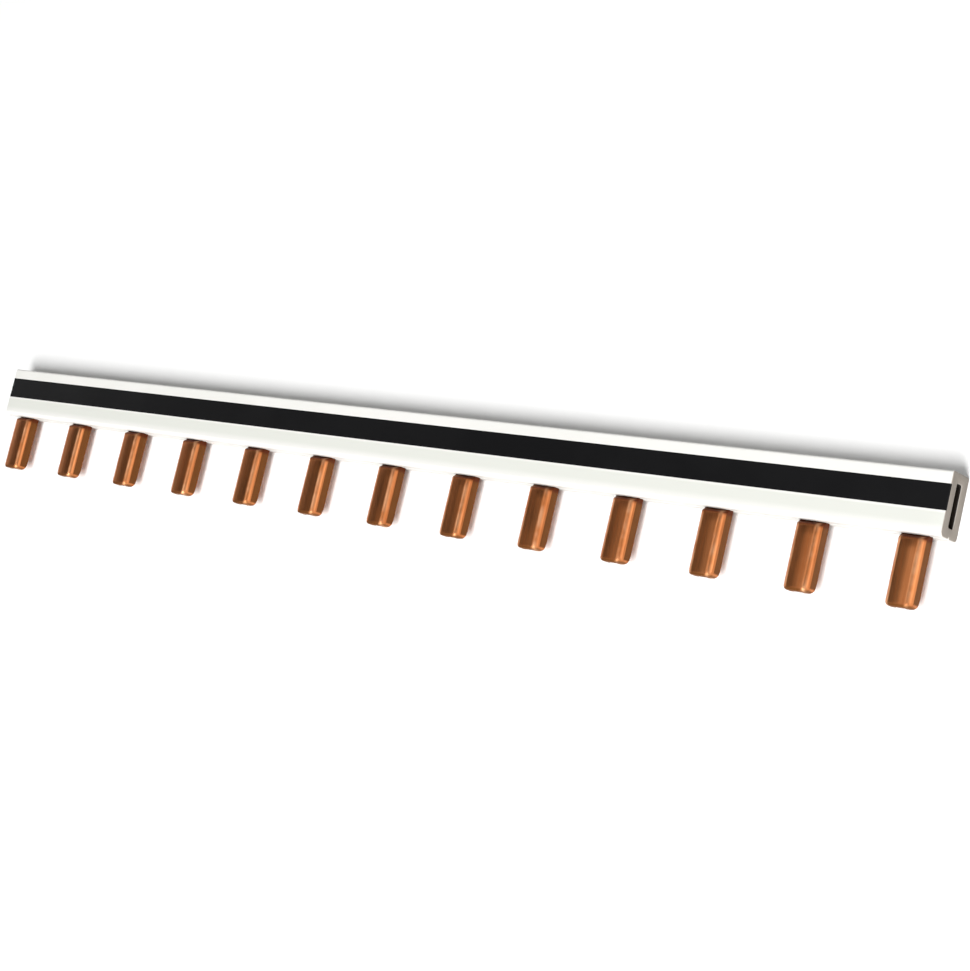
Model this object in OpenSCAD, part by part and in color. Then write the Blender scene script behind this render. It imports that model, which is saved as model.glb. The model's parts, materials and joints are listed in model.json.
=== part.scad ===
// Single-pole pin busbar for a row of modular devices: one stamped copper comb,
// sleeved in an insulating profile that carries a coloured stripe.
//
// The bar lies on its back. +X runs along the bar, +Z is the side with the stripe,
// and the pins point to -Y. The origin is the middle of the housing's back face.

/* [Pin row] */
// Number of pins, one for each module
pin_count = 13; // [2:1:18]
// Distance between neighbouring pins, one module of a distribution board
pin_pitch = 17.8; // [16:0.1:27]
// Length of a pin below the housing
pin_len = 11.3; // [8:0.1:14]
// Width of a pin over its two bent edges
pin_w = 4.7; // [4.2:0.1:6]
// Height to which a pin's ridge is pressed out of the sheet's front face
ridge_rise = 1.4; // [0.6:0.05:1.7]
// Outer radius of the two bends along a pin
bend_r = 1.05; // [0.5:0.05:1.2]
// Inner radius of the two bends along a pin
bend_inner_r = 0.3; // [0.1:0.05:0.45]
// Length of the slope in which the flat root turns into the gutter
root_slope = 1.3; // [0.6:0.1:2]
// Corner radius of a pin's tip, seen from the front
tip_corner_r = 0.6; // [0.2:0.1:1]
// Radius of the rounded ends of a pin's two edges, seen from the side
tip_edge_r = 1.5; // [0.8:0.1:1.8]

/* [Copper strip] */
// Thickness of the copper sheet
sheet_t = 1.5; // [1.2:0.1:1.8]
// Height of the strip that joins the pins
strip_w = 6.7; // [5:0.1:9]
// Distance from the strip's end to the end of the housing
end_recess = 2; // [0.5:0.1:2.5]

/* [Housing] */
// Length of housing beyond the middle of the last pin
housing_overhang = 5.2; // [5:0.1:8]
// Wall behind the strip
wall_back = 1.8; // [1:0.05:2.5]
// Wall in front of the strip, under the stripe
wall_front = 1.8; // [1:0.05:2.5]
// Wall along the edge away from the pins
wall_top = 1.6; // [1:0.05:2.5]
// Wall along the edge that the pins come out of
wall_bottom = 1.6; // [1.2:0.05:2.5]
// Edge radius between the front and the pin side
edge_r_front = 1.2; // [0.3:0.1:1.5]
// Edge radius between the back and the pin side
edge_r_back = 0.5; // [0.2:0.1:1.2]
// Edge radius along the side away from the pins
edge_r_top = 0.4; // [0.2:0.1:1]
// Radius in the corners of the slot
slot_corner_r = 0.3; // [0.1:0.05:0.6]
// Width of the closing seam along the pin side
seam_w = 0.4; // [0.2:0.1:0.8]
// Depth of the closing seam
seam_depth = 0.4; // [0.2:0.1:0.8]

/* [Stripe] */
// Height of the coloured stripe
stripe_w = 4.1; // [2:0.1:6]
// Thickness of the coloured stripe, set flush in the front wall
stripe_t = 0.3; // [0.2:0.05:0.6]
// Housing left bare above the stripe
stripe_inset = 2.05; // [1:0.05:3]

/* [Fits] */
// Play of the strip in its slot, across its thickness and across its height
strip_play = 0.1; // [0.05:0.05:0.3]
// Gap at each side of a pin's root in its window
window_gap = 0.15; // [0.05:0.05:0.4]

/* [Hidden] */
$fn = 48;
// Length by which a cut runs past the face it leaves through
past = 1;

slot_t = sheet_t + strip_play;
slot_w = strip_w + strip_play;
housing_t = wall_back + slot_t + wall_front;
housing_h = wall_bottom + slot_w + wall_top;
row_len = (pin_count - 1) * pin_pitch;
housing_len = row_len + 2 * housing_overhang;
strip_len = housing_len - 2 * end_recess;

// Heights on the housing, with its middle at y = 0
pin_side_y = -housing_h / 2;
far_side_y = housing_h / 2;
slot_y = pin_side_y + wall_bottom;
stripe_y = far_side_y - stripe_inset - stripe_w;
tip_y = pin_side_y - pin_len;

// Levels above the back face
sheet_back_z = wall_back;
sheet_front_z = sheet_back_z + sheet_t;
ridge_z = sheet_front_z + ridge_rise;
channel_z = ridge_z - sheet_t;
channel_w = pin_w - 2 * sheet_t;

// What a corner of radius r loses when it is rounded. The corner is at the origin,
// with the material towards [sx, sy].
module corner_loss(r, sx, sy) {
    difference() {
        translate([sx > 0 ? -past : -r, sy > 0 ? -past : -r])
            square(r + past);
        translate([sx * r, sy * r])
            circle(r);
    }
}

// Extrudes an outline drawn in (y, z) along the bar, centred on x = 0.
module along_bar(length) {
    translate([-length / 2, 0, 0])
        rotate([90, 0, 90])
            linear_extrude(length)
                children();
}

// Extrudes an outline drawn in (x, z) down a pin, from height y.
module down_pin(y, length) {
    translate([0, y, 0])
        rotate([90, 0, 0])
            linear_extrude(length)
                children();
}

// Outer section of a pin. Its two edges stay in the plane of the sheet's back, and the
// ridge between them is rounded on both sides.
module pin_section() {
    difference() {
        translate([-pin_w / 2, sheet_back_z])
            square([pin_w, ridge_z - sheet_back_z]);
        translate([-pin_w / 2, ridge_z])
            corner_loss(bend_r, 1, -1);
        translate([pin_w / 2, ridge_z])
            corner_loss(bend_r, -1, -1);
    }
}

// Section of the open channel behind the ridge.
module channel_section() {
    difference() {
        translate([-channel_w / 2, 0])
            square([channel_w, channel_z]);
        translate([-channel_w / 2, channel_z])
            corner_loss(bend_inner_r, 1, -1);
        translate([channel_w / 2, channel_z])
            corner_loss(bend_inner_r, -1, -1);
    }
}

// Side view of a pin: flat root, slope up to the ridge, and edges rounded off at the tip.
module pin_side_view() {
    slope_end_y = pin_side_y - root_slope;
    difference() {
        polygon([
            [slot_y, sheet_back_z],
            [slot_y, sheet_front_z],
            [pin_side_y, sheet_front_z],
            [slope_end_y, ridge_z],
            [tip_y, ridge_z],
            [tip_y, sheet_back_z]
        ]);
        translate([tip_y, sheet_back_z])
            corner_loss(tip_edge_r, 1, 1);
    }
}

// Side view of the channel, which keeps the sheet's thickness along the slope.
module channel_side_view() {
    slope_end_y = pin_side_y - root_slope;
    polygon([
        [pin_side_y, 0],
        [pin_side_y, sheet_back_z],
        [slope_end_y, channel_z],
        [tip_y - past, channel_z],
        [tip_y - past, 0]
    ]);
}

// Front view of a pin, with the two corners of its tip rounded.
module pin_front_view() {
    difference() {
        translate([-pin_w / 2, tip_y])
            square([pin_w, slot_y - tip_y]);
        translate([-pin_w / 2, tip_y])
            corner_loss(tip_corner_r, 1, 1);
        translate([pin_w / 2, tip_y])
            corner_loss(tip_corner_r, -1, 1);
    }
}

// One pin, from the strip's lower edge to its tip.
module pin() {
    reach = slot_y - tip_y;
    difference() {
        intersection() {
            down_pin(slot_y, reach) pin_section();
            along_bar(pin_w) pin_side_view();
            linear_extrude(ridge_z) pin_front_view();
        }
        intersection() {
            down_pin(pin_side_y, pin_len + past) channel_section();
            along_bar(channel_w) channel_side_view();
        }
    }
}

// Outer section of the housing, drawn in (y, z).
module housing_outline() {
    difference() {
        translate([pin_side_y, 0])
            square([housing_h, housing_t]);
        translate([pin_side_y, housing_t])
            corner_loss(edge_r_front, 1, -1);
        translate([pin_side_y, 0])
            corner_loss(edge_r_back, 1, 1);
        translate([far_side_y, housing_t])
            corner_loss(edge_r_top, -1, -1);
        translate([far_side_y, 0])
            corner_loss(edge_r_top, -1, 1);
    }
}

// Section of the slot that holds the strip.
module slot_outline() {
    difference() {
        translate([slot_y, sheet_back_z])
            square([slot_w, slot_t]);
        for (sy = [-1, 1], sz = [-1, 1])
            translate([slot_y + (sy > 0 ? 0 : slot_w), sheet_back_z + (sz > 0 ? 0 : slot_t)])
                corner_loss(slot_corner_r, sy, sz);
    }
}

// Stripe seen in section, flush with the housing's front.
module stripe_outline() {
    translate([stripe_y, housing_t - stripe_t])
        square([stripe_w, stripe_t]);
}

// The stamped comb: one strip with every pin standing on its lower edge.
module copper_comb() {
    color("#b0693d") {
        along_bar(strip_len)
            translate([slot_y, sheet_back_z])
                square([strip_w, sheet_t]);
        for (i = [0 : pin_count - 1])
            translate([i * pin_pitch - row_len / 2, 0, 0])
                pin();
    }
}

// The white sleeve: a closed section with a slot right through, and a window for each pin.
module insulating_profile() {
    window_w = pin_w + 2 * window_gap;
    seam_z = sheet_back_z + slot_t / 2;
    color("#f4f4f0")
        difference() {
            along_bar(housing_len)
                difference() {
                    housing_outline();
                    slot_outline();
                    stripe_outline();
                    polygon([
                        [pin_side_y, seam_z - seam_w / 2],
                        [pin_side_y + seam_depth, seam_z],
                        [pin_side_y, seam_z + seam_w / 2]
                    ]);
                }
            for (i = [0 : pin_count - 1])
                translate([
                    i * pin_pitch - row_len / 2 - window_w / 2,
                    pin_side_y - past,
                    sheet_back_z
                ])
                    cube([window_w, wall_bottom + slot_corner_r + past, slot_t]);
        }
}

// The black stripe, let into the front of the sleeve over its whole length.
module marking_stripe() {
    color("#161617")
        along_bar(housing_len)
            stripe_outline();
}

copper_comb();
insulating_profile();
marking_stripe();
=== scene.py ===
"""The looks of a pin busbar: a bare copper comb in a white plastic sleeve with a black stripe.

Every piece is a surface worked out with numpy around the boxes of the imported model. Lengths
are in metres, in the model's own frame: +X runs along the bar, -Y is the way the pins point
and +Z is out of the face that carries the stripe.
"""

import json
import logging
from dataclasses import dataclass, field
from enum import Enum
from typing import Sequence

import bpy
import numpy as np
from mathutils import Matrix, Vector
from mathutils.geometry import tessellate_polygon


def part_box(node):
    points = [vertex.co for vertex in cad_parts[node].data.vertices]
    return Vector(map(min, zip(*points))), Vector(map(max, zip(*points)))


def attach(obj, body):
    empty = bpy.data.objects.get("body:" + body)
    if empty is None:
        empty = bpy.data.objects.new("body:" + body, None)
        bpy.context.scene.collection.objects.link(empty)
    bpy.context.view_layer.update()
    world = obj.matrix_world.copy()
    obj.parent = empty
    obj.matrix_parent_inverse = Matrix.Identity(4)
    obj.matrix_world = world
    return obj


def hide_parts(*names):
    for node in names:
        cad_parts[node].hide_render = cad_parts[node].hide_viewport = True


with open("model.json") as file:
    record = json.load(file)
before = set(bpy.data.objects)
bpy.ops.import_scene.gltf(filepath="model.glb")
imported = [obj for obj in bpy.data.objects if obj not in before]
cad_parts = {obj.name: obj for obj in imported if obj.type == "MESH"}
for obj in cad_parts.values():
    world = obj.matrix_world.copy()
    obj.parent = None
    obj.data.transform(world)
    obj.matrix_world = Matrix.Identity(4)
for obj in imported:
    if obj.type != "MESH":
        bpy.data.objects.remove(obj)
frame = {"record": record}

MM = 0.001
log = logging.getLogger("busbar")

# Share of the shorter side next to it that the round of a corner may take
ROUND_SHARE = 0.45
# A round never gets smaller than this
LEAST_RADIUS = 0.01 * MM
# Angle between two faces from which their edge stays sharp
SHARP_FROM = 0.7
# Facets over the rounded ends of a bar
END_STEPS = 3
# Keeps a division by a length or by a tangent away from zero
TINY = 1e-12

Colour = tuple[float, float, float, float]


# ---------------------------------------------------------------- outlines and surfaces


@dataclass(frozen=True)
class Corner:
    """One corner of a section, at (a, b) for every station along the path.

    Attributes:
        a: First coordinate, one number or one for each station.
        b: Second coordinate, one number or one for each station.
        radius: Radius that the corner is rounded to, one number or one for each station.
        steps: Facets that the round takes. Zero leaves a plain point.
        worn: How much the corner shows as an edge, from 0 to 1.
    """

    a: float | np.ndarray
    b: float | np.ndarray
    radius: float | np.ndarray = 0.0
    steps: int = 0
    worn: float = 0.0


@dataclass(frozen=True)
class Outline:
    """Rounded outlines at a row of stations.

    Attributes:
        points: Array of stations by points by 2.
        worn: Edge value of each point of the outline.
        starts: Index of the first point of each corner.
    """

    points: np.ndarray
    worn: np.ndarray
    starts: list[int]


def unit(vectors: np.ndarray) -> np.ndarray:
    """Vectors divided by their own length."""
    return vectors / np.maximum(np.linalg.norm(vectors, axis=-1, keepdims=True), TINY)


def left_of(vectors: np.ndarray) -> np.ndarray:
    """Vectors of a plane turned by a quarter to the left."""
    return np.stack([-vectors[..., 1], vectors[..., 0]], -1)


def trace(corners: Sequence[Corner], inset: np.ndarray, lead: float = 0.04 * MM) -> Outline:
    """Rounds a closed outline at every station, and moves it inwards there by the inset.

    A corner moves along the sum of its two inward normals, divided by one plus their dot
    product. Two rounds on one side never cross, because each takes less than half of it. A
    round leaves the first side at radius * tan(turn / 2) before the corner, and its points
    stand at centre + radius * (along * sin(t) - inwards * cos(t)). One more point lies on each
    side just before and just after the round, so that flat sides shade flat.

    Args:
        corners: The corners in order, anticlockwise.
        inset: Distance that the outline moves inwards, one for each station.
        lead: Distance of the extra points from the ends of a round.

    Returns:
        The rounded outlines.
    """
    stations = len(inset)
    still = np.zeros(stations)
    place = np.stack([np.stack([c.a + still, c.b + still], -1) for c in corners], 1)
    ahead = unit(np.roll(place, -1, 1) - place)
    before = np.roll(ahead, 1, 1)
    inward_before, inward_ahead = left_of(before), left_of(ahead)
    share = 1 + (inward_before * inward_ahead).sum(-1, keepdims=True)
    place = place + inset[:, None, None] * (inward_before + inward_ahead) / share
    cross = before[..., 0] * ahead[..., 1] - before[..., 1] * ahead[..., 0]
    turn = np.arctan2(cross, (before * ahead).sum(-1))
    length = np.linalg.norm(np.roll(place, -1, 1) - place, axis=-1)
    room = ROUND_SHARE * np.minimum(length, np.roll(length, 1, 1))
    parts, worn, starts, count = [], [], [], 0
    for i, corner in enumerate(corners):
        starts.append(count)
        if not corner.steps:
            parts.append(place[:, i : i + 1])
            worn.append([corner.worn])
            count += 1
            continue
        side = np.sign(turn[:, i])
        angle = np.abs(turn[:, i])
        radius = np.maximum(corner.radius + still - side * inset, LEAST_RADIUS)
        radius = np.minimum(radius, room[:, i] / np.maximum(np.tan(angle / 2), TINY))
        reach = radius * np.tan(angle / 2)
        along = before[:, i]
        inwards = left_of(along) * side[:, None]
        centre = place[:, i] - along * reach[:, None] + inwards * radius[:, None]
        t = angle[:, None] * np.linspace(0, 1, corner.steps + 1)
        arc = centre[:, None] + radius[:, None, None] * (
            along[:, None] * np.sin(t)[..., None] - inwards[:, None] * np.cos(t)[..., None]
        )
        first = arc[:, :1] - lead * along[:, None]
        last = arc[:, -1:] + lead * ahead[:, i][:, None]
        parts.append(np.concatenate([first, arc, last], 1))
        worn.append([0.0] + [corner.worn] * (corner.steps + 1) + [0.0])
        count += corner.steps + 3
    return Outline(np.concatenate(parts, 1), np.concatenate(worn), starts)


def end_round(length: float, radius: float, steps: int) -> tuple[np.ndarray, np.ndarray]:
    """Stations and insets of the rounded end of a bar.

    The station goes from length - radius to length as a sine, and the inset grows from
    nothing to the radius as one less a cosine, so the two draw a quarter circle.

    Args:
        length: Where the end face lies.
        radius: Radius of its rim.
        steps: Facets across the round.

    Returns:
        The stations and the insets.
    """
    t = np.linspace(0, np.pi / 2, steps + 1)
    return length - radius * (1 - np.sin(t)), radius * (1 - np.cos(t))


def wrap_faces(stations: int, points: int) -> np.ndarray:
    """Quads of a closed outline carried along its stations, as stations - 1 by points by 4."""
    index = np.arange(stations * points).reshape(stations, points)
    beside = np.roll(index, -1, 1)
    return np.stack([index[:-1], beside[:-1], beside[1:], index[1:]], -1)


@dataclass
class Surface:
    """Vertices and faces that are gathered before they become one mesh."""

    vertices: list[np.ndarray] = field(default_factory=list)
    faces: list[list[int]] = field(default_factory=list)
    worn: list[np.ndarray] = field(default_factory=list)
    side: list[np.ndarray] = field(default_factory=list)
    count: int = 0

    def add_points(self, points: np.ndarray, worn: np.ndarray, side: np.ndarray) -> np.ndarray:
        """Adds a grid of vertices with their edge and side values.

        Args:
            points: Array of stations by points by 3.
            worn: Edge value of each point, for rubbed edges and for painted highlight.
            side: Side value of each point, the mask where shade is painted.

        Returns:
            The index that each point has in the surface, as stations by points.
        """
        index = self.count + np.arange(worn.size).reshape(worn.shape)
        self.vertices.append(points.reshape(-1, 3))
        self.worn.append(worn.reshape(-1))
        self.side.append(side.reshape(-1))
        self.count += worn.size
        return index

    def add_faces(self, faces: Sequence[Sequence[int]] | np.ndarray) -> None:
        """Adds faces that name vertices of the whole surface."""
        self.faces.extend(np.asarray(faces).tolist() if isinstance(faces, np.ndarray) else faces)

    def add_ends(self, index: np.ndarray) -> None:
        """Closes a carried outline at its first and its last station."""
        self.add_faces([index[0].tolist(), index[-1].tolist()])

    def build(self, name: str) -> bpy.types.Object:
        """Makes the mesh object, with its faces pointing outwards.

        Args:
            name: Name of the object.

        Returns:
            The object, at the origin, with its place in its mesh.
        """
        mesh = bpy.data.meshes.new(name)
        mesh.from_pydata(np.concatenate(self.vertices), [], self.faces)
        for label, values in (("worn", self.worn), ("side", self.side)):
            layer = mesh.attributes.new(label, "FLOAT", "POINT")
            layer.data.foreach_set("value", np.concatenate(values).astype(np.float32))
        mesh.validate()
        piece = bpy.data.objects.new(name, mesh)
        bpy.context.scene.collection.objects.link(piece)
        point_outwards(piece)
        mesh.polygons.foreach_set("use_smooth", np.ones(len(mesh.polygons), bool))
        mesh.set_sharp_from_angle(angle=SHARP_FROM)
        return piece


def select_only(piece: bpy.types.Object) -> None:
    """Selects one object and makes it the active one."""
    bpy.ops.object.select_all(action="DESELECT")
    piece.select_set(True)
    bpy.context.view_layer.objects.active = piece


def point_outwards(piece: bpy.types.Object) -> None:
    """Turns every face of a closed piece outwards."""
    select_only(piece)
    bpy.ops.object.mode_set(mode="EDIT")
    bpy.ops.mesh.select_all(action="SELECT")
    bpy.ops.mesh.normals_make_consistent(inside=False)
    bpy.ops.object.mode_set(mode="OBJECT")


def bar_stations(end: float, rim: float, between: Sequence[float] = ()) -> tuple[np.ndarray, np.ndarray]:
    """Stations and insets of a bar with rounded ends.

    Args:
        end: Where the bar ends, at both sides of its middle.
        rim: Radius of the rims of its two end faces.
        between: Further stations, in order, without an inset.

    Returns:
        The stations and the insets.
    """
    far, inset = end_round(end, rim, END_STEPS)
    along = np.concatenate([-far[::-1], between, far])
    return along, np.concatenate([inset[::-1], np.zeros(len(between)), inset])


def carry(
    surface: Surface, along: np.ndarray, outline: Outline, side: np.ndarray | float = 0.0
) -> np.ndarray:
    """Adds the points of outlines in y and z, carried along the bar.

    Args:
        surface: The surface that takes the points.
        along: Places of the stations along the bar.
        outline: The outline of each station.
        side: Side value, the mask where shade is painted, one for all stations or one for each.

    Returns:
        The index that each point has in the surface, as stations by points.
    """
    shape = outline.points.shape[:2]
    x = np.broadcast_to(along[:, None], shape)
    points = np.stack([x, outline.points[..., 0], outline.points[..., 1]], -1)
    side = np.broadcast_to((np.zeros(len(along)) + side)[:, None], shape)
    return surface.add_points(points, np.broadcast_to(outline.worn, shape), side)


def closed_bar(corners: Sequence[Corner], end: float, rim: float) -> Surface:
    """A bar of one closed section in y and z, with rounded ends."""
    along, insets = bar_stations(end, rim)
    surface = Surface()
    index = carry(surface, along, trace(corners, insets))
    surface.add_faces(wrap_faces(*index.shape).reshape(-1, 4))
    surface.add_ends(index)
    return surface


def smooth_step(t: np.ndarray) -> np.ndarray:
    """3 t^2 - 2 t^3 between 0 and 1, level at both ends."""
    t = np.clip(t, 0, 1)
    return t * t * (3 - 2 * t)


# ---------------------------------------------------------------- materials


class Kind(Enum):
    """Node types that the finishes use."""

    COORDINATES = "ShaderNodeTexCoord"
    ATTRIBUTE = "ShaderNodeAttribute"
    MAPPING = "ShaderNodeMapping"
    NOISE = "ShaderNodeTexNoise"
    RANGE = "ShaderNodeMapRange"
    MATH = "ShaderNodeMath"
    MIX = "ShaderNodeMix"
    BUMP = "ShaderNodeBump"
    GROUP = "ShaderNodeGroup"
    SPLIT = "ShaderNodeSeparateXYZ"
    LIGHT_PATH = "ShaderNodeLightPath"
    VECTOR_MATH = "ShaderNodeVectorMath"
    GROUP_INPUT = "NodeGroupInput"
    GROUP_OUTPUT = "NodeGroupOutput"


class Sheet:
    """Adds nodes to a tree, with each input given as a value or as another node's output."""

    def __init__(self, tree: bpy.types.NodeTree) -> None:
        """Keeps the tree that nodes are added to."""
        self.tree = tree

    def add(self, kind: Kind, inputs: dict | None = None, **settings: object) -> bpy.types.Node:
        """Adds a node.

        Args:
            kind: Type of the node.
            inputs: Values or outputs for its inputs, by name or by index.
            settings: Properties of the node.

        Returns:
            The node.
        """
        node = self.tree.nodes.new(kind.value)
        for key, value in settings.items():
            setattr(node, key, value)
        for key, value in (inputs or {}).items():
            self.put(node.inputs[key], value)
        return node

    def put(self, socket: bpy.types.NodeSocket, value: object) -> None:
        """Links an output to a socket, or sets the socket's own value."""
        if isinstance(value, bpy.types.NodeSocket):
            self.tree.links.new(value, socket)
        else:
            socket.default_value = value

    def math(self, operation: str, first: object, second: object = 0.0) -> bpy.types.NodeSocket:
        """Output of one sum of two values."""
        return self.add(Kind.MATH, {0: first, 1: second}, operation=operation).outputs[0]

    def ramp(
        self, value: object, low: object, high: object, out: tuple[float, float] = (0.0, 1.0)
    ) -> bpy.types.NodeSocket:
        """Value carried smoothly from the range low to high to another range."""
        node = self.add(
            Kind.RANGE,
            {"Value": value, "From Min": low, "From Max": high, "To Min": out[0], "To Max": out[1]},
            interpolation_type="SMOOTHSTEP",
        )
        return node.outputs["Result"]

    def blend(self, mask: object, first: object, second: object) -> bpy.types.NodeSocket:
        """Colour that goes from the first to the second with the mask."""
        node = self.add(Kind.MIX, data_type="RGBA")
        self.put(node.inputs[0], mask)
        self.put(node.inputs[6], first)
        self.put(node.inputs[7], second)
        return node.outputs[2]

    def attribute(self, name: str) -> bpy.types.NodeSocket:
        """Value of one of the piece's own attributes."""
        node = self.add(Kind.ATTRIBUTE, attribute_name=name, attribute_type="GEOMETRY")
        return node.outputs["Fac"]


def colour(red: float, green: float, blue: float) -> Colour:
    """Opaque linear colour."""
    return (red, green, blue, 1.0)


def new_group(
    name: str, inputs: dict[str, tuple[str, object]], output: str
) -> tuple[bpy.types.NodeTree, Sheet, bpy.types.NodeOutputs, bpy.types.NodeSocket]:
    """Starts a shader group with one float as its output.

    Args:
        name: Name of the group.
        inputs: Socket type and first value of each input, by name.
        output: Name of the output.

    Returns:
        The tree, its sheet, the outputs that give its inputs, and the socket of its result.
    """
    tree = bpy.data.node_groups.new(name, "ShaderNodeTree")
    for label, (kind, value) in inputs.items():
        socket = tree.interface.new_socket(label, in_out="INPUT", socket_type=kind)
        if value is not None:
            socket.default_value = value
    tree.interface.new_socket(output, in_out="OUTPUT", socket_type="NodeSocketFloat")
    sheet = Sheet(tree)
    given = sheet.add(Kind.GROUP_INPUT).outputs
    return tree, sheet, given, sheet.add(Kind.GROUP_OUTPUT).inputs[output]


def drawn_lines_group() -> bpy.types.NodeTree:
    """Lines that a tool leaves along one direction: noise stretched by the Stretch input."""
    inputs = {
        "Vector": ("NodeSocketVector", None),
        "Stretch": ("NodeSocketVector", (1.0, 1.0, 1.0)),
    }
    tree, sheet, given, result = new_group("drawn_lines", inputs, "Value")
    moved = sheet.add(Kind.MAPPING, {"Vector": given["Vector"], "Scale": given["Stretch"]})
    noise = sheet.add(
        Kind.NOISE,
        {"Vector": moved.outputs[0], "Scale": 1.0, "Detail": 3.0, "Roughness": 0.6},
    )
    sheet.put(result, noise.outputs[0])
    return tree


def blotches_group() -> bpy.types.NodeTree:
    """Soft patches: noise of a given scale, spread over the range from 0 to 1."""
    inputs = {
        "Vector": ("NodeSocketVector", None),
        "Scale": ("NodeSocketFloat", 100.0),
        "Low": ("NodeSocketFloat", 0.4),
        "High": ("NodeSocketFloat", 0.6),
    }
    tree, sheet, given, result = new_group("blotches", inputs, "Mask")
    noise = sheet.add(
        Kind.NOISE,
        {"Vector": given["Vector"], "Scale": given["Scale"], "Detail": 4.0, "Roughness": 0.55},
    )
    sheet.put(result, sheet.ramp(noise.outputs[0], given["Low"], given["High"]))
    return tree


def edge_wear_and_sheen_group() -> bpy.types.NodeTree:
    """Edge mask: the piece's edge value, broken up by fine noise; on the copper it places the painted
    highlight.
    """
    inputs = {
        "Vector": ("NodeSocketVector", None),
        "Edge": ("NodeSocketFloat", 0.0),
        "Scale": ("NodeSocketFloat", 1500.0),
        "Amount": ("NodeSocketFloat", 1.0),
    }
    tree, sheet, given, result = new_group("edge_wear", inputs, "Mask")
    noise = sheet.add(Kind.NOISE, {"Vector": given["Vector"], "Scale": given["Scale"], "Detail": 2.0})
    broken = sheet.ramp(noise.outputs[0], 0.35, 0.65)
    edge = sheet.math("MULTIPLY", given["Edge"], broken)
    sheet.put(result, sheet.math("MULTIPLY", edge, given["Amount"]))
    return tree


@dataclass(frozen=True)
class Effects:
    """The shader groups that the finishes share."""

    lines: bpy.types.NodeTree
    blotches: bpy.types.NodeTree
    wear_and_sheen: bpy.types.NodeTree

    @staticmethod
    def build() -> "Effects":
        """Builds each group once."""
        return Effects(drawn_lines_group(), blotches_group(), edge_wear_and_sheen_group())


@dataclass(frozen=True)
class Finish:
    """What every finish has: a name, a roughness and a depth of relief."""

    name: str
    roughness: float
    relief: float

    def start(self) -> tuple[bpy.types.Material, Sheet, bpy.types.Node, bpy.types.NodeSocket]:
        """Starts a material.

        Returns:
            The material, its sheet, its Principled node and its object coordinates.
        """
        material = bpy.data.materials.new(self.name)
        material.use_nodes = True
        sheet = Sheet(material.node_tree)
        shader = material.node_tree.nodes["Principled BSDF"]
        shader.inputs["Roughness"].default_value = self.roughness
        coordinates = sheet.add(Kind.COORDINATES)
        return material, sheet, shader, coordinates.outputs["Object"]

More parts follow.
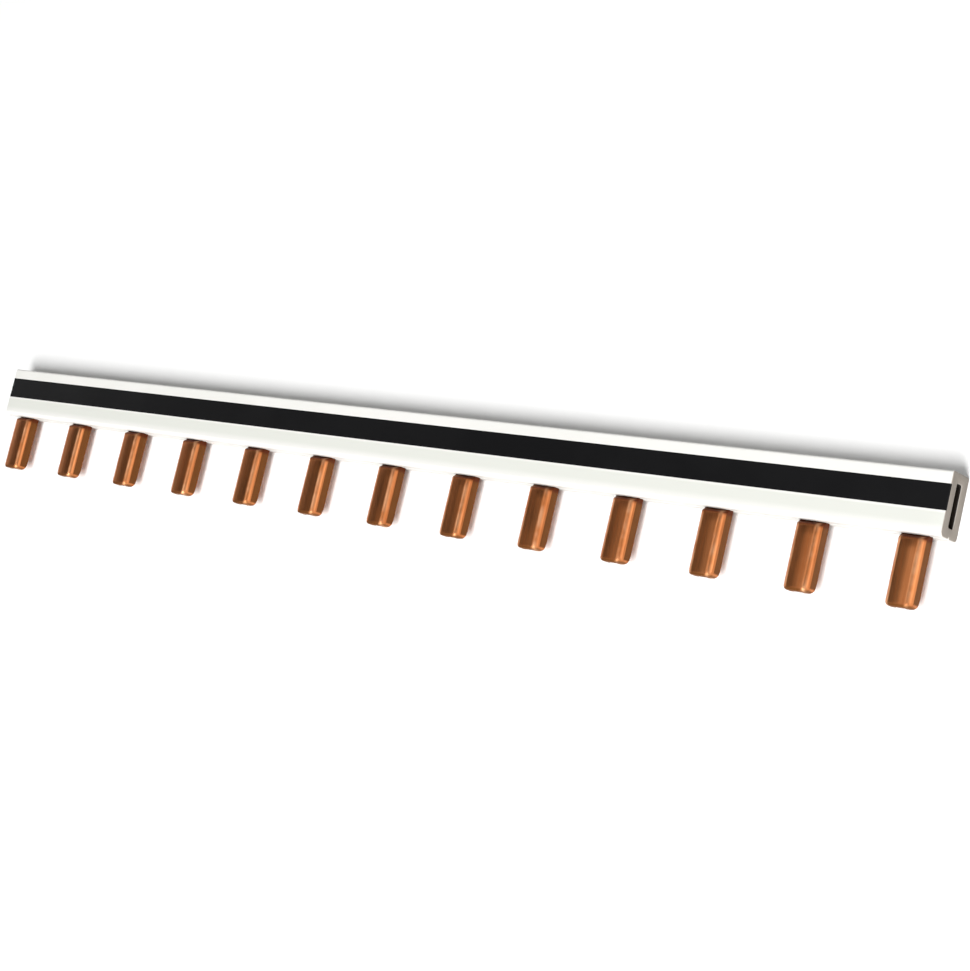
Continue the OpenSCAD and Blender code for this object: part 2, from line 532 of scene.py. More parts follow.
@dataclass(frozen=True)
class CopperFinish(Finish):
    """Rolled copper, lightly tarnished, with lines along the pins, painted shade on the pins' flanks,
    tips and roots, and a painted highlight over each bend.

    Attributes:
        clean: Colour of the clean copper.
        tarnish: Colour of the tarnished copper.
        flank_shade: Dark colour painted on the pins' flanks and tips as their shade.
        root: Dark colour painted on the pins' roots as the shade under the sleeve's edge.
        bend_highlight: Colour of the highlight painted over each bend.
        root_shade_low: Height on the pins where the painted root shade starts.
        root_shade_high: Height on the pins where it is full.
        line_stretch: Stretch of the lines' noise along the three axes.
        line_range: Range of that noise over which a streak forms.
        blotch_scale: Scale of the patches.
        blotch_range: Range of their noise that is spread from 0 to 1.
        line_share: Share of the lines in the tarnish.
        blotch_share: Share of the patches in the tarnish.
        highlight_noise_scale: Scale of the noise that breaks up the painted highlight.
        wear_and_sheen_amount: Strength of the painted highlight.
        tarnish_dulling: Roughness that the tarnish adds.
        flank_dulling: Roughness that flanks, tips and roots add.
        strength: Strength of the lines' relief.
    """

    clean: Colour = colour(0.66, 0.245, 0.09)
    tarnish: Colour = colour(0.48, 0.15, 0.045)
    flank_shade: Colour = colour(0.2, 0.075, 0.022)
    root: Colour = colour(0.14, 0.035, 0.014)
    bend_highlight: Colour = colour(0.93, 0.55, 0.31)
    root_shade_low: float = 0.0
    root_shade_high: float = 0.0
    line_stretch: tuple[float, float, float] = (2400.0, 45.0, 2400.0)
    line_range: tuple[float, float] = (0.35, 0.7)
    blotch_scale: float = 170.0
    blotch_range: tuple[float, float] = (0.3, 0.75)
    line_share: float = 0.6
    blotch_share: float = 0.4
    highlight_noise_scale: float = 300.0
    wear_and_sheen_amount: float = 0.5
    tarnish_dulling: float = 0.14
    flank_dulling: float = 0.3
    strength: float = 0.2

    def build(self, effects: Effects) -> bpy.types.Material:
        """Makes the material from the shared effects."""
        material, sheet, shader, place = self.start()
        side = sheet.attribute("side")
        inputs = {"Vector": place, "Stretch": self.line_stretch}
        lines = sheet.add(Kind.GROUP, inputs, node_tree=effects.lines).outputs["Value"]
        low, high = self.blotch_range
        inputs = {"Vector": place, "Scale": self.blotch_scale, "Low": low, "High": high}
        blotch = sheet.add(Kind.GROUP, inputs, node_tree=effects.blotches).outputs["Mask"]
        inputs = {
            "Vector": place, "Edge": sheet.attribute("worn"),
            "Scale": self.highlight_noise_scale, "Amount": self.wear_and_sheen_amount,
        }
        wear_and_sheen = sheet.add(Kind.GROUP, inputs, node_tree=effects.wear_and_sheen).outputs["Mask"]
        streak = sheet.math("MULTIPLY", sheet.ramp(lines, *self.line_range), self.line_share)
        mask = sheet.math("ADD", streak, sheet.math("MULTIPLY", blotch, self.blotch_share))
        heights = sheet.add(Kind.SPLIT, {"Vector": place})
        root = sheet.ramp(heights.outputs["Y"], self.root_shade_low, self.root_shade_high)
        base = sheet.blend(mask, self.clean, self.tarnish)
        # Painted shade: the pins' flanks and tips take a dark colour.
        base = sheet.blend(side, base, self.flank_shade)
        # Painted shade: the pins darken at their roots, just below the sleeve.
        base = sheet.blend(root, base, self.root)
        # Painted highlight: a light colour over each bend of the pins.
        base = sheet.blend(wear_and_sheen, base, self.bend_highlight)
        sheet.put(shader.inputs["Base Color"], base)
        shader.inputs["Metallic"].default_value = 1.0
        dull = sheet.math("MULTIPLY", sheet.math("MAXIMUM", side, root), self.flank_dulling)
        rough = sheet.math("ADD", sheet.math("MULTIPLY", mask, self.tarnish_dulling), self.roughness)
        sheet.put(shader.inputs["Roughness"], sheet.math("ADD", rough, dull))
        inputs = {"Strength": self.strength, "Distance": self.relief, "Height": lines}
        sheet.put(shader.inputs["Normal"], sheet.add(Kind.BUMP, inputs).outputs["Normal"])
        return material


@dataclass(frozen=True)
class PlasticFinish(Finish):
    """Extruded plastic, with faint lines along the bar, and saw marks on its ends, which on the white
    plastic are also darkened as painted shade.

    Attributes:
        base: Colour of the plastic.
        shade: Colour of its patches.
        edge: Colour of its rubbed edges.
        sawn_and_shaded_end: Colour of its cut ends: on the white plastic a dark painted shade, on the
            black the lighter look of the saw cut.
        inside: Dark colour painted inside the slot as its shade.
        band: Colour of a band along the bar below the stripe, a painted shade.
        band_high: Upper edge of the band. There is no band unless it lies above the lower one.
        band_low: Middle of the band's soft lower edge.
        band_high_soft: Height over which the band's upper edge fades in.
        band_low_soft: Half the height over which its lower edge fades out.
        end: Where the bar ends.
        cut_from: Distance from the end where the colour and the saw marks of the end start.
        cut_to: Distance from the end where it is full.
        line_stretch: Stretch of the lines' noise along the three axes.
        saw_stretch: Stretch of the saw marks' noise.
        blotch_scale: Scale of the patches.
        wear_and_sheen_amount: Strength of the rubbed edges.
        line_dulling: Roughness that the lines add and take.
        sawn_dulling: Roughness that the cut ends add.
        saw_depth: Depth of the saw marks, with the lines at 1.
        strength: Strength of the relief.
        specular: Strength of the mirror-like reflection.
    """

    base: Colour = colour(0.865, 0.855, 0.82)
    shade: Colour = colour(0.84, 0.835, 0.795)
    edge: Colour = colour(0.89, 0.89, 0.87)
    sawn_and_shaded_end: Colour = colour(0.47, 0.415, 0.36)
    inside: Colour = colour(0.018, 0.013, 0.009)
    band: Colour = colour(0.745, 0.755, 0.7)
    band_high: float = 0.0
    band_low: float = 0.0
    band_high_soft: float = 0.3 * MM
    band_low_soft: float = 0.6 * MM
    end: float = 0.0
    cut_from: float = 0.12 * MM
    cut_to: float = 0.02 * MM
    line_stretch: tuple[float, float, float] = (18.0, 2200.0, 2200.0)
    saw_stretch: tuple[float, float, float] = (900.0, 500.0, 5200.0)
    blotch_scale: float = 45.0
    wear_and_sheen_amount: float = 0.6
    line_dulling: float = 0.1
    sawn_dulling: float = 0.25
    saw_depth: float = 3.0
    strength: float = 0.3
    specular: float = 0.5

    def build(self, effects: Effects) -> bpy.types.Material:
        """Makes the material from the shared effects."""
        material, sheet, shader, place = self.start()
        inputs = {"Vector": place, "Stretch": self.line_stretch}
        lines = sheet.add(Kind.GROUP, inputs, node_tree=effects.lines).outputs["Value"]
        inputs = {"Vector": place, "Stretch": self.saw_stretch}
        saw = sheet.add(Kind.GROUP, inputs, node_tree=effects.lines).outputs["Value"]
        inputs = {"Vector": place, "Scale": self.blotch_scale}
        blotch = sheet.add(Kind.GROUP, inputs, node_tree=effects.blotches).outputs["Mask"]
        inputs = {"Vector": place, "Edge": sheet.attribute("worn"), "Amount": self.wear_and_sheen_amount}
        wear_and_sheen = sheet.add(Kind.GROUP, inputs, node_tree=effects.wear_and_sheen).outputs["Mask"]
        parts = sheet.add(Kind.SPLIT, {"Vector": place}).outputs
        reach = sheet.math("ABSOLUTE", parts["X"])
        cut = sheet.ramp(reach, self.end - self.cut_from, self.end - self.cut_to)
        base = sheet.blend(blotch, self.base, self.shade)
        # Painted shade: a darker band on the front, below the stripe.
        if self.band_high > self.band_low:
            soft = self.band_low_soft
            under = sheet.ramp(parts["Y"], self.band_high, self.band_high - self.band_high_soft)
            over = sheet.ramp(parts["Y"], self.band_low - soft, self.band_low + soft)
            base = sheet.blend(sheet.math("MULTIPLY", under, over), base, self.band)
        base = sheet.blend(wear_and_sheen, base, self.edge)
        # Painted shade: the white plastic's end faces take a dark colour; the black's ends a lighter
        # saw-cut colour.
        base = sheet.blend(cut, base, self.sawn_and_shaded_end)
        # Painted shade: the inside of the slot takes a dark colour.
        base = sheet.blend(sheet.attribute("side"), base, self.inside)
        sheet.put(shader.inputs["Base Color"], base)
        shader.inputs["Specular IOR Level"].default_value = self.specular
        vary = sheet.math("MULTIPLY", lines, self.line_dulling)
        rough = sheet.math("ADD", vary, self.roughness - self.line_dulling / 2)
        rough = sheet.math("ADD", rough, sheet.math("MULTIPLY", cut, self.sawn_dulling))
        sheet.put(shader.inputs["Roughness"], rough)
        along = sheet.math("MULTIPLY", lines, sheet.math("SUBTRACT", 1.0, cut))
        across = sheet.math("MULTIPLY", saw, sheet.math("MULTIPLY", cut, self.saw_depth))
        height = sheet.math("ADD", along, across)
        inputs = {"Strength": self.strength, "Distance": self.relief, "Height": height}
        sheet.put(shader.inputs["Normal"], sheet.add(Kind.BUMP, inputs).outputs["Normal"])
        return material


# ---------------------------------------------------------------- the three pieces


@dataclass
class Span:
    """Lowest and highest corner of a node of the model."""

    low: Vector
    high: Vector

    @staticmethod
    def of(node: str) -> "Span":
        """Span of a node."""
        return Span(*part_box(node))


def dress(piece: bpy.types.Object, node: str, material: bpy.types.Material) -> None:
    """Gives a piece its finish and its body, hides the node that it stands for, and reports it."""
    piece.data.materials.clear()
    piece.data.materials.append(material)
    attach(piece, "root")
    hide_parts(node)
    log.info("%s: %d faces, stands for %s", piece.name, len(piece.data.polygons), node)


@dataclass
class CopperComb:
    """The stamped comb: a flat strip and the gutter-shaped pins on its lower edge.

    Attributes:
        span: Box of the comb.
        pin_places: Where the pins stand along the bar.
        window_side: Face of the sleeve that the pins come out of.
        pin_width: Width of a pin over its two bends.
        sheet: Thickness of the copper.
        strip_height: Height of the strip.
        slope: Length over which the flat root becomes a gutter.
        bend: Outer radius of the two bends.
        inner_bend: Inner radius of the two bends.
        crown: Height by which the ridge is crowned between the bends.
        least_crown: Share of the crown that the flat root has.
        crown_radius: Radius of the crown.
        tip_corner: Corner radius of the tip, seen from the front.
        tip_edge: Length of the rounded end of the legs, seen from the side.
        tip_rise: Height of that rounded end.
        rim: Radius of the sheet's edges on a pin.
        lip_ratio: Least ratio of the gutter's depth to the radius of its lips.
        clear_of_tip: Distance, in rims, that the legs' round keeps from the tip.
        strip_rim: Radius of the strip's edges.
        sunk: Length by which a pin runs into the strip before both are joined.
        root_gap: Play that keeps the faces of the root and the strip apart for the joining.
        least_depth: Depth that the gutter has at the root, where it is closed.
        flank_from: Share of the half width from which the painted shade of the flanks starts.
        flank_over: Share of the half width over which it becomes full.
        tip_from: Distance from the tip, in rims, where the painted shade of the tip starts.
        tip_over: Distance, in rims, over which it becomes full.
        highlight_width: Width of the painted highlight over a bend, as a share of the half width.
    """

    span: Span
    pin_places: np.ndarray
    window_side: float
    pin_width: float = 4.7 * MM
    sheet: float = 1.5 * MM
    strip_height: float = 6.7 * MM
    slope: float = 0.75 * MM
    bend: float = 1.3 * MM
    inner_bend: float = 0.3 * MM
    crown: float = 0.18 * MM
    least_crown: float = 0.1
    crown_radius: float = 9.0 * MM
    tip_corner: float = 0.85 * MM
    tip_edge: float = 2.0 * MM
    tip_rise: float = 1.0 * MM
    rim: float = 0.2 * MM
    lip_ratio: float = 2.2
    clear_of_tip: float = 1.3
    strip_rim: float = 0.15 * MM
    sunk: float = 1.0 * MM
    root_gap: float = 0.004 * MM
    least_depth: float = 0.03 * MM
    flank_from: float = 0.982
    flank_over: float = 0.014
    tip_from: float = 2.6
    tip_over: float = 1.4
    highlight_width: float = 0.12

    @property
    def back(self) -> float:
        """Level of the sheet's back."""
        return self.span.low.z

    @property
    def ridge(self) -> float:
        """Level of the pins' ridge."""
        return self.span.high.z

    @property
    def tip(self) -> float:
        """Where the pins end."""
        return self.span.low.y

    @property
    def strip_low(self) -> float:
        """Lower edge of the strip, which the pins grow out of."""
        return self.span.high.y - self.strip_height

    def pin_stations(self) -> tuple[np.ndarray, np.ndarray]:
        """Heights and insets down a pin: root, slope, straight run and rounded tip.

        The stations of the legs' round stop just before the tip's own rim.

        Returns:
            The heights and the insets.
        """
        slope_end = self.window_side - self.slope
        root = np.linspace(self.strip_low + self.sunk, self.window_side, 4)[:-1]
        slope = np.linspace(self.window_side, slope_end, 13)
        run = np.linspace(slope_end, self.tip + self.tip_edge, 6)[1:-1]
        turn = np.linspace(0, np.pi / 2, 9)
        leg_round = self.tip + self.tip_edge * (1 - np.sin(turn))
        leg_round = leg_round[leg_round > self.tip + self.clear_of_tip * self.rim]
        tip, inset = end_round(-self.tip, self.rim, 5)
        down = np.concatenate([root, slope, run, leg_round, -tip])
        return down, np.concatenate([np.zeros(len(down) - len(inset)), inset])

    def pin_outline(self) -> tuple[np.ndarray, Outline]:
        """Section of a pin at each of its stations, in x and z.

        The ridge rises from the sheet's front by a smooth step over the slope. The half width
        loses corner - sqrt(corner^2 - (corner - d)^2) near the tip, d being the distance to it.
        The legs' lower edge rises there by rise * (1 - sqrt(1 - (1 - d / edge)^2)), a quarter
        of an ellipse.

        Returns:
            The stations and the outlines.
        """
        down, inset = self.pin_stations()
        rise = smooth_step((self.window_side - down) / self.slope)
        front = self.back + self.sheet
        level = self.root_gap * (rise == 0)
        top = front + (self.ridge - front) * rise - level
        distance = down - self.tip
        corner_gap = np.clip(self.tip_corner - distance, 0, None)
        edge_gap = np.clip(self.tip_edge - distance, 0, None)
        half = self.pin_width / 2 - (self.tip_corner - np.sqrt(self.tip_corner**2 - corner_gap**2))
        low = self.back + self.tip_rise * (1 - np.sqrt(1 - (edge_gap / self.tip_edge) ** 2)) + level
        pressed = (self.ridge - self.sheet - self.back) * rise
        depth = np.maximum(pressed - (low - self.back), self.least_depth)
        gutter = self.pin_width / 2 - self.sheet
        bend = self.rim + (self.bend - self.rim) * rise
        inner_room = np.maximum(depth - 2 * inset - 2 * self.least_depth, LEAST_RADIUS)
        inner = np.minimum(self.inner_bend, inner_room)
        lip = np.minimum(self.rim, depth / self.lip_ratio)
        crown = self.crown * (self.least_crown + (1 - self.least_crown) * rise)
        corners = [
            Corner(-half, low, self.rim, 4),
            Corner(-gutter, low, lip, 4),
            Corner(-gutter, low + depth, inner, 4),
            Corner(gutter, low + depth, inner, 4),
            Corner(gutter, low, lip, 4),
            Corner(half, low, self.rim, 4),
            Corner(half, top - crown, bend, 12),
            Corner(0.0, top, self.crown_radius, 10),
            Corner(-half, top - crown, bend, 12),
        ]
        return down, trace(corners, inset)

    def pins(self) -> Surface:
        """All pins as closed shells, one copy of the same grid for each place."""
        down, outline = self.pin_outline()
        shape = outline.points.shape[:2]
        y = np.broadcast_to(down[:, None], shape)
        plain = np.zeros(shape)
        faces = wrap_faces(*shape).reshape(-1, 4)
        surface = Surface()
        for place in self.pin_places:
            points = np.stack([outline.points[..., 0] + place, y, outline.points[..., 1]], -1)
            index = surface.add_points(points, plain, plain)
            surface.add_faces(faces + index[0, 0])
            surface.add_ends(index)
        return surface

    def strip(self) -> Surface:
        """The flat strip as a bar with softened edges."""
        low, high = self.strip_low, self.span.high.y
        back, front = self.back, self.back + self.sheet
        corners = [
            Corner(low, back, self.strip_rim, 3),
            Corner(high, back, self.strip_rim, 3),
            Corner(high, front, self.strip_rim, 3),
            Corner(low, front, self.strip_rim, 3),
        ]
        return closed_bar(corners, self.span.high.x, self.strip_rim)

    def mark(self, mesh: bpy.types.Mesh) -> None:
        """Writes the edge and side values of the joined comb, the masks of its painted highlight and its
        painted shade.

        Across a pin, the side value, which places the painted shade, rises by a smooth step close to the
        flanks, and near the tip over the rim. The edge value is a bell over each bend, where a highlight
        is painted.

        Args:
            mesh: The mesh of the joined comb.
        """
        points = np.empty(len(mesh.vertices) * 3, np.float32)
        mesh.vertices.foreach_get("co", points)
        x, y, _ = points.reshape(-1, 3).T
        across = np.abs(x[:, None] - self.pin_places[None]).min(1) / (self.pin_width / 2)
        flank_shade = (across - self.flank_from) / self.flank_over
        tip = (self.tip + self.tip_from * self.rim - y) / (self.tip_over * self.rim)
        below = y < self.window_side
        # Painted shade on the flanks and near the tip of each pin.
        side = smooth_step(np.maximum(flank_shade, tip)) * below
        bend = 1 - self.bend / self.pin_width
        # Painted highlight: a bell over each bend.
        worn = np.exp(-(((across - bend) / self.highlight_width) ** 2)) * below
        for label, values in (("side", side), ("worn", worn)):
            mesh.attributes[label].data.foreach_set("value", values.astype(np.float32))

    def build(self, material: bpy.types.Material) -> bpy.types.Object:
        """Joins strip and pins into one solid and dresses it."""
        comb = self.strip().build("copper_comb_piece")
        pins = self.pins().build("pins_to_join")
        union = comb.modifiers.new("grow_pins", "BOOLEAN")
        union.operation = "UNION"
        union.solver = "EXACT"
        union.object = pins
        select_only(comb)
        bpy.ops.object.modifier_apply(modifier=union.name)
        bpy.data.objects.remove(pins)
        comb.data.set_sharp_from_angle(angle=SHARP_FROM)
        self.mark(comb.data)
        dress(comb, "copper_comb", material)
        return comb


@dataclass
class InsulatingSleeve:
    """The white sleeve: a slot right through, a window for each pin and a closing seam.

    Attributes:
        span: Box of the sleeve.
        stripe: Box of the stripe that is let into its front.
        pin_places: Where the pins stand along the bar.
        wall_back: Wall behind the strip.
        wall_side: Wall that the pins come through.
        slot_thickness: Thickness of the slot.
        slot_height: Height of the slot.
        slot_corner: Radius in the corners of the slot.
        window_width: Width of a pin's window.
        front_edge: Edge radius between the front and the pin side.
        back_edge: Edge radius between the back and the pin side.
        top_edge: Edge radius along the side away from the pins.
        groove: Radius in the corners of the stripe's groove.
        seam: Width and depth of the closing seam.
        seam_edge: Radius of the seam's edges.
        rim: Radius of the rims of the two ends.
    """

    span: Span
    stripe: Span
    pin_places: np.ndarray
    wall_back: float = 1.8 * MM
    wall_side: float = 1.6 * MM
    slot_thickness: float = 1.6 * MM
    slot_height: float = 6.8 * MM
    slot_corner: float = 0.3 * MM
    window_width: float = 5.0 * MM
    front_edge: float = 1.2 * MM
    back_edge: float = 0.5 * MM
    top_edge: float = 0.4 * MM
    groove: float = 0.03 * MM
    seam: float = 0.4 * MM
    seam_edge: float = 0.04 * MM
    rim: float = 0.12 * MM

    def outer_corners(self) -> list[Corner]:
        """Outer section in y and z, anticlockwise from the back edge on the pin side."""
        low, high = self.span.low, self.span.high
        groove_low, groove_high = self.stripe.low.y, self.stripe.high.y
        floor = self.stripe.low.z
        return [
            Corner(low.y, low.z, self.back_edge, 6, 0.6),
            Corner(high.y, low.z, self.top_edge, 6, 0.6),
            Corner(high.y, high.z, self.top_edge, 6, 0.8),
            Corner(groove_high, high.z, self.groove, 2),
            Corner(groove_high, floor, self.groove, 2),
            Corner(groove_low, floor, self.groove, 2),
            Corner(groove_low, high.z, self.groove, 2),
            Corner(low.y, high.z, self.front_edge, 12, 0.4),
        ]

    def window_corners(self) -> list[Corner]:
        """The rest of the outer section: the strip of the pin side that the windows open."""
        low_y = self.span.low.y
        low_z, high_z = self.wall_back, self.wall_back + self.slot_thickness
        middle = (low_z + high_z) / 2
        return [
            Corner(low_y, high_z),
            Corner(low_y, middle + self.seam / 2, self.seam_edge, 3, 0.5),
            Corner(low_y + self.seam, middle, self.seam_edge, 3),
            Corner(low_y, middle - self.seam / 2, self.seam_edge, 3, 0.5),
            Corner(low_y, low_z),
        ]

    def slot_corners(self) -> list[Corner]:
        """Section of the slot in y and z, anticlockwise."""
        low_y = self.span.low.y + self.wall_side
        high_y = low_y + self.slot_height
        low_z = self.wall_back
        high_z = low_z + self.slot_thickness
        return [
            Corner(low_y, low_z, self.slot_corner, 4),
            Corner(high_y, low_z, self.slot_corner, 4),
            Corner(high_y, high_z, self.slot_corner, 4),
            Corner(low_y, high_z, self.slot_corner, 4),
        ]

    def open_windows(self, surface: Surface, outer: np.ndarray, slot: np.ndarray, first: int) -> None:
        """Walls of the windows between the outer side and the slot.

        Args:
            surface: The surface that takes the faces.
            outer: Indices of the outer points across a window, by stations.
            slot: Indices of the slot's points across a window, by stations.
            first: First station of the first window.
        """
        for k in first + 2 * np.arange(len(self.pin_places)):
            for j in (0, -1):
                surface.add_faces([[outer[k, j], outer[k + 1, j], slot[k + 1, j], slot[k, j]]])
            for station in (k, k + 1):
                surface.add_faces([[*outer[station], *slot[station, ::-1]]])

    def close_ends(self, surface: Surface, walls: Sequence[tuple[Outline, np.ndarray]]) -> None:
        """End faces between the outer side and the slot.

        Args:
            surface: The surface that takes the faces.
            walls: The outline and the point indices of the outer side and of the slot.
        """
        for station in (0, -1):
            loops = [[Vector((0, *point)) for point in outline.points[station]] for outline, _ in walls]
            index = np.concatenate([index[station] for _, index in walls])
            surface.add_faces(index[np.array(tessellate_polygon(loops))])

    def build(self, material: bpy.types.Material) -> bpy.types.Object:
        """Carries both outlines along the bar, opens the windows and closes the ends."""
        half = self.window_width / 2
        edges = np.stack([self.pin_places - half, self.pin_places + half], 1).reshape(-1)
        along, insets = bar_stations(self.span.high.x, self.rim, edges)
        outside = self.outer_corners()
        outer = trace(outside + self.window_corners(), insets)
        slot = trace(self.slot_corners(), -insets)
        surface = Surface()
        outer_index = carry(surface, along, outer)
        # The side value marks the inside of the slot, which takes painted shade.
        slot_index = carry(surface, along, slot, np.abs(along) <= self.span.high.x - self.rim)
        # Across a window lie all points of the window corners, and the slot's lower wall with
        # its two rounded corners.
        outer_gap = np.arange(outer.starts[len(outside)], outer_index.shape[1])
        last_corner = np.arange(slot.starts[-1], slot_index.shape[1])
        slot_gap = np.concatenate([last_corner, np.arange(slot.starts[1])])
        first = END_STEPS + 1
        windows = first + 2 * np.arange(len(self.pin_places))
        for index, gap in ((outer_index, outer_gap), (slot_index, slot_gap)):
            faces = wrap_faces(*index.shape)
            keep = np.ones(faces.shape[:2], bool)
            keep[np.ix_(windows, gap[:-1])] = False
            surface.add_faces(faces[keep] + index[0, 0])
        self.open_windows(surface, outer_index[:, outer_gap], slot_index[:, slot_gap], first)
        self.close_ends(surface, ((outer, outer_index), (slot, slot_index)))
        sleeve = surface.build("insulating_profile_piece")
        dress(sleeve, "insulating_profile", material)
        return sleeve


@dataclass
class MarkingStripe:
    """The black stripe, let into the front of the sleeve.

    Attributes:
        span: Box of the stripe.
        edge: Radius of its long edges.
        rim: Radius of the rims of its two ends.
    """

    span: Span
    edge: float = 0.04 * MM
    rim: float = 0.12 * MM

    def build(self, material: bpy.types.Material) -> bpy.types.Object:
        """Carries the stripe's flat section along the bar, rounds its ends and dresses it."""
        low, high = self.span.low, self.span.high
        corners = [
            Corner(low.y, low.z, self.edge, 2),
            Corner(high.y, low.z, self.edge, 2),
            Corner(high.y, high.z, self.edge, 3, 0.5),
            Corner(low.y, high.z, self.edge, 3, 0.5),
        ]
        stripe = closed_bar(corners, high.x, self.rim).build("marking_stripe_piece")
        dress(stripe, "marking_stripe", material)
        return stripe


# ---------------------------------------------------------------- studio


@dataclass(frozen=True)
class Softbox:
    """One rectangular lamp that faces the origin.

    Attributes:
        name: Name of the lamp.
        place: Where it hangs.
        size: Its two sides.
        power: Its power in watts.
    """

    name: str
    place: tuple[float, float, float]
    size: tuple[float, float]
    power: float

    def build(self) -> bpy.types.Object:
        """Hangs the lamp."""
        data = bpy.data.lights.new(self.name, "AREA")
        data.shape = "RECTANGLE"
        data.size, data.size_y = self.size
        data.energy = self.power
        lamp = bpy.data.objects.new(self.name, data)
        lamp.location = self.place
        facing = -Vector(self.place)
        lamp.rotation_euler = facing.to_track_quat("-Z", "Y").to_euler()
        lamp.visible_camera = False
        bpy.context.scene.collection.objects.link(lamp)
        return lamp


@dataclass
class Studio:
    """Floor, lamps and camera.

    Attributes:
        floor_rings: Radii of the level floor's inner rings.
        floor_radius: Radius of the level floor.
        floor_sides: Facets once round the floor.
        cove_radius: Radius with which the floor turns up into the wall.
        cove_steps: Facets over that turn.
        cove_height: Height of the wall.
        far_white: Distances over which the floor that is seen becomes plain white.
        floor_colour: Colour of the floor that is seen.
        floor_bounce: Colour of the light that the floor throws back.
        camera_place: Where the camera stands.
        camera_aim: The point that it faces.
        picture_up: The picture's upward direction.
        lens: Its focal length in millimetres.
        lamps: The lamps.
        world_strength: Strength of the white surroundings.
    """

    floor_rings: tuple[float, ...] = (0.3, 0.8, 1.2)
    floor_radius: float = 1.6
    floor_sides: int = 96
    cove_radius: float = 0.7
    cove_steps: int = 12
    cove_height: float = 1.1
    far_white: tuple[float, float] = (0.5, 1.3)
    floor_colour: Colour = colour(1.0, 1.0, 0.995)
    floor_bounce: Colour = colour(0.32, 0.32, 0.31)
    camera_place: tuple[float, float, float] = (0.25806, -0.04882, 0.28209)
    camera_aim: tuple[float, float, float] = (0.02217, -0.00623, 0.0026)
    picture_up: tuple[float, float, float] = (-0.10232, 0.96691, 0.23368)
    lens: float = 77.88
    lamps: tuple[Softbox, ...] = (
        Softbox("main_softbox", (0.4, -0.78, 1.3), (0.55, 0.95), 26.8),
        Softbox("front_softbox", (0.1, -0.95, 0.28), (0.9, 0.3), 3.2),
        Softbox("top_softbox", (-0.1, 0.07, 0.9), (2.0, 0.16), 2.1),
        Softbox("side_softbox", (0.62, 0.06, 0.36), (0.34, 0.6), 0.9),
    )
    world_strength: float = 0.02

    def floor_finish(self) -> bpy.types.Material:
        """White floor that throws back less light than it shows, and is plain white far out."""
        material = bpy.data.materials.new("floor_white")
        material.use_nodes = True
        shader = material.node_tree.nodes["Principled BSDF"]
        shader.inputs["Roughness"].default_value = 0.9
        shader.inputs["Specular IOR Level"].default_value = 0.0
        sheet = Sheet(material.node_tree)
        rays = sheet.add(Kind.LIGHT_PATH).outputs
        shown = sheet.math("MAXIMUM", rays["Is Camera Ray"], rays["Is Glossy Ray"])
        shown = sheet.math("MAXIMUM", shown, rays["Is Transmission Ray"])
        base = sheet.blend(shown, self.floor_bounce, self.floor_colour)
        sheet.put(shader.inputs["Base Color"], base)
        place = sheet.add(Kind.COORDINATES).outputs["Object"]
        distance = sheet.add(Kind.VECTOR_MATH, {0: place}, operation="LENGTH").outputs["Value"]
        far = sheet.ramp(distance, *self.far_white)
        shader.inputs["Emission Color"].default_value = colour(1.0, 1.0, 1.0)
        sheet.put(shader.inputs["Emission Strength"], sheet.math("MULTIPLY", shown, far))
        return material

    def floor(self) -> bpy.types.Object:
        """Round floor whose rim turns up into a wall.

        The profile goes out level, up a quarter circle and up the wall, and is carried once
        round the upright axis.

        Returns:
            The floor.
        """
        turn = np.linspace(0, np.pi / 2, self.cove_steps + 1)
        flat = np.array(self.floor_rings)
        wall = self.floor_radius + self.cove_radius
        cove = self.floor_radius + self.cove_radius * np.sin(turn)
        radius = np.concatenate([flat, cove, [wall]])
        height = np.concatenate([0 * flat, self.cove_radius * (1 - np.cos(turn)), [self.cove_height]])
        angle = np.linspace(0, 2 * np.pi, self.floor_sides, endpoint=False)
        ring = np.stack([
            radius[:, None] * np.cos(angle),
            radius[:, None] * np.sin(angle),
            np.broadcast_to(height[:, None], (len(radius), len(angle))),
        ], -1)
        mesh = bpy.data.meshes.new("floor")
        faces = wrap_faces(len(radius), len(angle)).reshape(-1, 4)[:, ::-1].tolist()
        mesh.from_pydata(ring.reshape(-1, 3), [], faces + [list(range(len(angle)))])
        mesh.polygons.foreach_set("use_smooth", np.ones(len(mesh.polygons), bool))
        mesh.materials.append(self.floor_finish())
        floor = bpy.data.objects.new("floor", mesh)
        bpy.context.scene.collection.objects.link(floor)
        return floor

    def camera(self) -> bpy.types.Object:
        """Camera that faces its aim, with the picture's upward direction as given."""
        data = bpy.data.cameras.new("camera")
        data.sensor_fit = "HORIZONTAL"
        data.sensor_width = 36.0
        data.lens = self.lens
        data.clip_start = 0.01
        data.clip_end = 20.0
        back = (Vector(self.camera_place) - Vector(self.camera_aim)).normalized()
        right = Vector(self.picture_up).cross(back).normalized()
        up = back.cross(right)
        turned = Matrix((right, up, back)).transposed().to_4x4()
        camera = bpy.data.objects.new("camera", data)
        camera.matrix_world = Matrix.Translation(self.camera_place) @ turned
        bpy.context.scene.collection.objects.link(camera)
        bpy.context.scene.camera = camera
        return camera

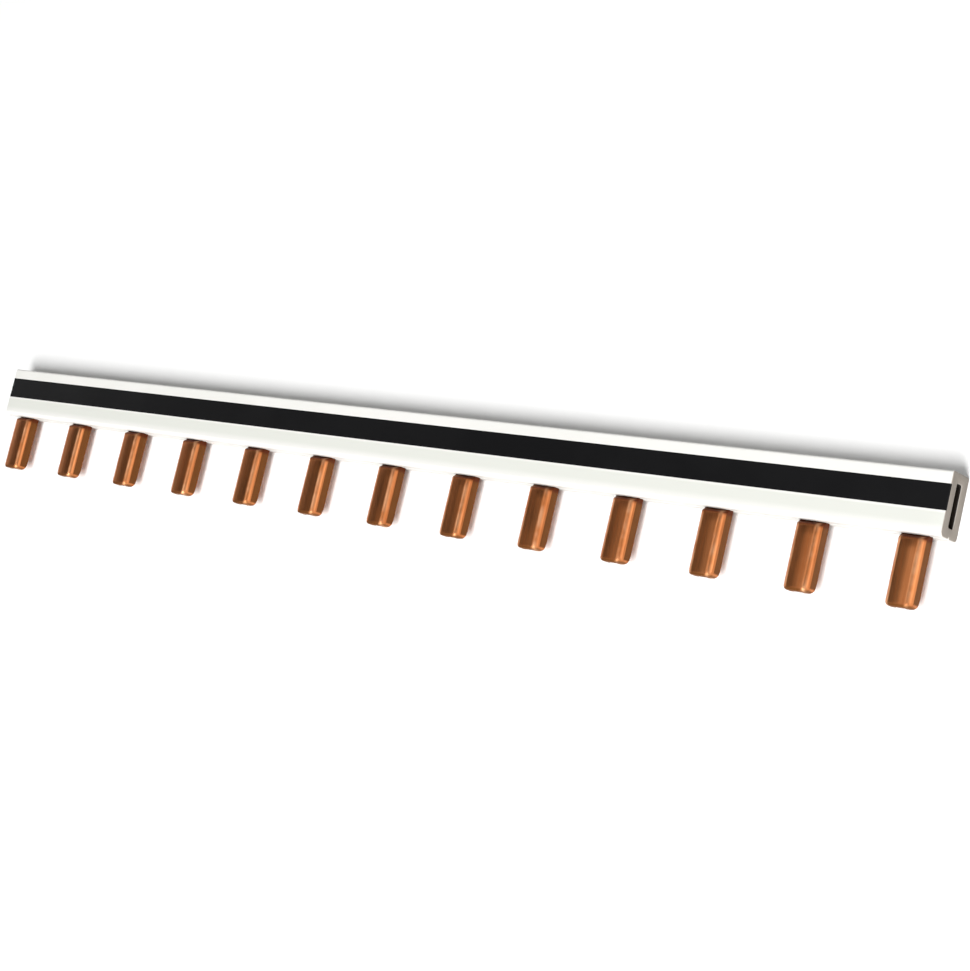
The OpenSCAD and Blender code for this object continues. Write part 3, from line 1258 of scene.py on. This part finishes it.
    def build(self) -> None:
        """Lays the floor, hangs the lamps and sets the camera and the world."""
        scene = bpy.context.scene
        scene.view_settings.view_transform = "Standard"
        world = bpy.data.worlds.new("studio")
        world.use_nodes = True
        sky = world.node_tree.nodes["Background"]
        sky.inputs["Color"].default_value = colour(1.0, 1.0, 1.0)
        sky.inputs["Strength"].default_value = self.world_strength
        scene.world = world
        self.floor()
        for lamp in self.lamps:
            lamp.build()
        self.camera()
        log.info("studio: floor, %d lamps and camera", len(self.lamps))


def pin_places() -> np.ndarray:
    """Where the pins stand along the bar, from the record's mounts."""
    mounts = frame["record"]["mounts"]
    return np.array(sorted(m["pos_m"][0] for m in mounts if m["name"].startswith("pin_")))


def main() -> None:
    """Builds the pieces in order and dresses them."""
    logging.basicConfig(level=logging.INFO, format="%(name)s: %(message)s")
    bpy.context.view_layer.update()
    effects = Effects.build()
    comb = Span.of("copper_comb")
    sleeve = Span.of("insulating_profile")
    stripe = Span.of("marking_stripe")
    places = pin_places()
    copper = CopperFinish(
        "rolled_copper", roughness=0.3, relief=0.006 * MM,
        # Painted shade on the pins' roots, just below the sleeve.
        root_shade_low=sleeve.low.y - 1.2 * MM, root_shade_high=sleeve.low.y - 0.5 * MM,
    ).build(effects)
    white = PlasticFinish(
        "white_plastic", roughness=0.42, relief=0.02 * MM, end=sleeve.high.x,
        # The band between these heights is a painted shade below the stripe.
        band_high=stripe.low.y - 0.2 * MM, band_low=sleeve.low.y + 1.4 * MM,
    ).build(effects)
    black = PlasticFinish(
        "black_plastic", roughness=0.5, relief=0.015 * MM, end=sleeve.high.x, specular=0.05,
        base=colour(0.008, 0.008, 0.0085), shade=colour(0.0065, 0.0065, 0.007),
        edge=colour(0.02, 0.02, 0.021), sawn_and_shaded_end=colour(0.02, 0.02, 0.02),
    ).build(effects)
    CopperComb(comb, places, sleeve.low.y).build(copper)
    InsulatingSleeve(sleeve, stripe, places).build(white)
    MarkingStripe(stripe).build(black)
    Studio().build()


if __name__ == "__main__":
    main()
